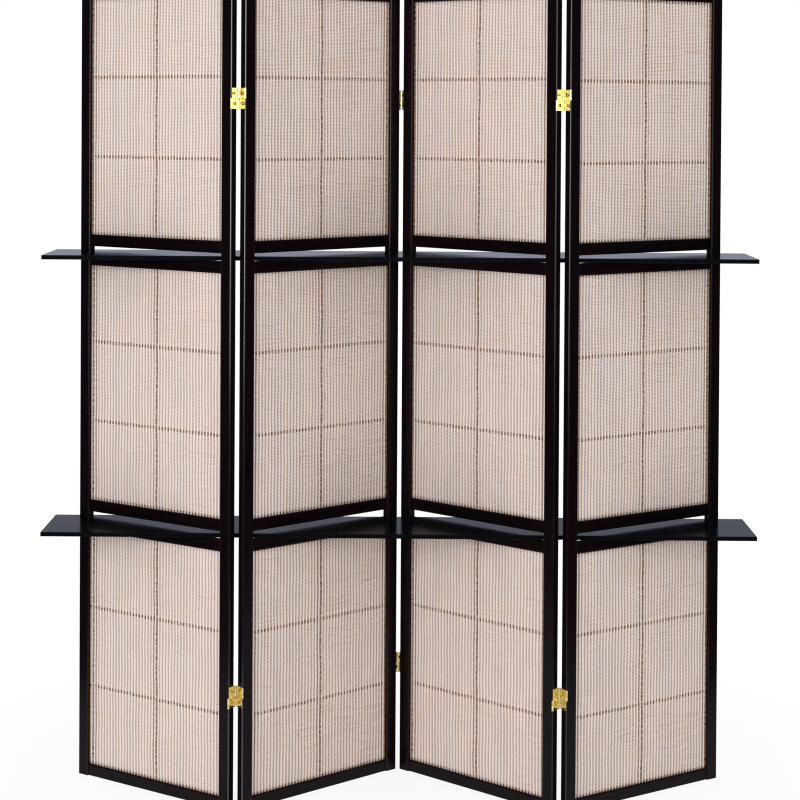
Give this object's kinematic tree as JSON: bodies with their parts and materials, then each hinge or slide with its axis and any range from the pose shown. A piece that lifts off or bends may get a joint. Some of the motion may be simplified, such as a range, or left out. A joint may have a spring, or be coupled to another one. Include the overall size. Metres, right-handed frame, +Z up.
{
  "type": "folding screen with shelves",
  "caption": "Zigzag folding screen with dark frames, woven cloth windows and long loose shelf boards lying in slots.",
  "frame": {"origin": "on the floor, under the middle of the object's bounding box", "axes": "+X to the right along the shelves, -Y to the side that faces the viewer, +Z up"},
  "size_m": [1.5516, 0.3072, 1.784],
  "materials": {
    "frame_lacquer": "satin near-black brown lacquer over a fine wood grain",
    "shelf_lacquer": "semi-gloss black-blue lacquer",
    "woven_cloth": "ribbed natural cloth with brown windowpane threads",
    "brass": "bright plated brass",
    "steel": "plain hinge pin"
  },
  "bodies": {
    "panel_1": {"panel_1_left_stile": "frame_lacquer", "panel_1_right_stile": "frame_lacquer", "panel_1_bottom_rail": "frame_lacquer", "panel_1_lower_slot_lower_rail": "frame_lacquer", "panel_1_lower_slot_upper_rail": "frame_lacquer", "panel_1_upper_slot_lower_rail": "frame_lacquer", "panel_1_upper_slot_upper_rail": "frame_lacquer", "panel_1_top_rail": "frame_lacquer", "panel_1_bottom_cloth": "woven_cloth", "panel_1_middle_cloth": "woven_cloth", "panel_1_top_cloth": "woven_cloth", "hinge_12_lower_left_half": "brass", "hinge_12_upper_left_half": "brass"},
    "panel_2": {"panel_2_left_stile": "frame_lacquer", "panel_2_right_stile": "frame_lacquer", "panel_2_bottom_rail": "frame_lacquer", "panel_2_lower_slot_lower_rail": "frame_lacquer", "panel_2_lower_slot_upper_rail": "frame_lacquer", "panel_2_upper_slot_lower_rail": "frame_lacquer", "panel_2_upper_slot_upper_rail": "frame_lacquer", "panel_2_top_rail": "frame_lacquer", "panel_2_bottom_cloth": "woven_cloth", "panel_2_middle_cloth": "woven_cloth", "panel_2_top_cloth": "woven_cloth", "hinge_12_lower_right_half": "brass", "hinge_12_upper_right_half": "brass", "hinge_23_lower_left_half": "brass", "hinge_23_upper_left_half": "brass"},
    "panel_3": {"panel_3_left_stile": "frame_lacquer", "panel_3_right_stile": "frame_lacquer", "panel_3_bottom_rail": "frame_lacquer", "panel_3_lower_slot_lower_rail": "frame_lacquer", "panel_3_lower_slot_upper_rail": "frame_lacquer", "panel_3_upper_slot_lower_rail": "frame_lacquer", "panel_3_upper_slot_upper_rail": "frame_lacquer", "panel_3_top_rail": "frame_lacquer", "panel_3_bottom_cloth": "woven_cloth", "panel_3_middle_cloth": "woven_cloth", "panel_3_top_cloth": "woven_cloth", "hinge_23_lower_right_half": "brass", "hinge_23_upper_right_half": "brass", "hinge_34_lower_left_half": "brass", "hinge_34_upper_left_half": "brass"},
    "panel_4": {"panel_4_left_stile": "frame_lacquer", "panel_4_right_stile": "frame_lacquer", "panel_4_bottom_rail": "frame_lacquer", "panel_4_lower_slot_lower_rail": "frame_lacquer", "panel_4_lower_slot_upper_rail": "frame_lacquer", "panel_4_upper_slot_lower_rail": "frame_lacquer", "panel_4_upper_slot_upper_rail": "frame_lacquer", "panel_4_top_rail": "frame_lacquer", "panel_4_bottom_cloth": "woven_cloth", "panel_4_middle_cloth": "woven_cloth", "panel_4_top_cloth": "woven_cloth", "hinge_34_lower_right_half": "brass", "hinge_34_upper_right_half": "brass"},
    "middle_pins": {"hinge_23_lower_pin": "steel", "hinge_23_upper_pin": "steel"},
    "lower_shelf": {"lower_shelf": "shelf_lacquer"},
    "upper_shelf": {"upper_shelf": "shelf_lacquer"}
  },
  "joints": [
    {"name": "middle_fold", "type": "hinge", "parent": "panel_2", "child": "panel_3", "pos_m": [0, 0.1323, 0.892], "axis": [0, 0, -1], "range_deg": [0, 89]},
    {"name": "left_fold", "type": "hinge", "parent": "panel_2", "child": "panel_1", "pos_m": [-0.34905, -0.13046, 0.892], "axis": [0, 0, -1], "range_deg": [0, 96.2]},
    {"name": "right_fold", "type": "hinge", "parent": "panel_3", "child": "panel_4", "pos_m": [0.34905, -0.13046, 0.892], "axis": [0, 0, 1], "range_deg": [0, 96.2]},
    {"name": "middle_pins_turn", "type": "hinge", "parent": "panel_2", "child": "middle_pins", "pos_m": [0, 0.1323, 0.892], "axis": [0, 0, -1], "range_deg": [0, 44.6]},
    {"name": "lower_shelf_slide", "type": "slide", "parent": "middle_pins", "child": "lower_shelf", "axis": [1, 0, 0], "range_m": [-0.38, 0.38]},
    {"name": "upper_shelf_slide", "type": "slide", "parent": "middle_pins", "child": "upper_shelf", "axis": [1, 0, 0], "range_m": [-0.38, 0.38]}
  ],
  "couplings": [
    {"joint": "left_fold", "follows": "middle_fold", "ratio": 1.08},
    {"joint": "right_fold", "follows": "middle_fold", "ratio": 1.08},
    {"joint": "middle_pins_turn", "follows": "middle_fold", "ratio": 0.5}
  ]
}
